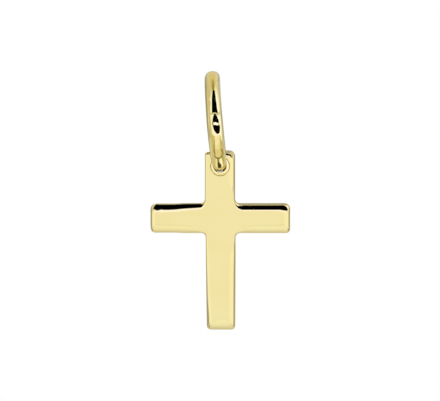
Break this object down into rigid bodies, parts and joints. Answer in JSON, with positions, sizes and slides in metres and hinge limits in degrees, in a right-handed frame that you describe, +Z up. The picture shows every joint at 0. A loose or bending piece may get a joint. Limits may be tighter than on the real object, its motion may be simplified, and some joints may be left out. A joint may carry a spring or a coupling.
{
  "type": "cross pendant",
  "caption": "Plain polished gold Latin cross with softly rolled edges, hung by a drilled hole on a closed round wire ring.",
  "frame": {"origin": "inside top of the ring, where the chain carries it", "axes": "+Z up along the long arm of the cross, -Y the front of the cross, +X to the viewer's right"},
  "size_m": [0.009, 0.0064, 0.0166],
  "materials": {
    "ring_gold": "polished",
    "cross_gold": "polished"
  },
  "bodies": {
    "ring": {"hanging_ring": "ring_gold"},
    "cross": {"cross": "cross_gold"}
  },
  "joints": [
    {"name": "cross_swing", "type": "hinge", "parent": "ring", "child": "cross", "pos_m": [0.00042, 0, -0.00505], "axis": [0, 1, 0], "range_deg": [-118, 108]}
  ]
}
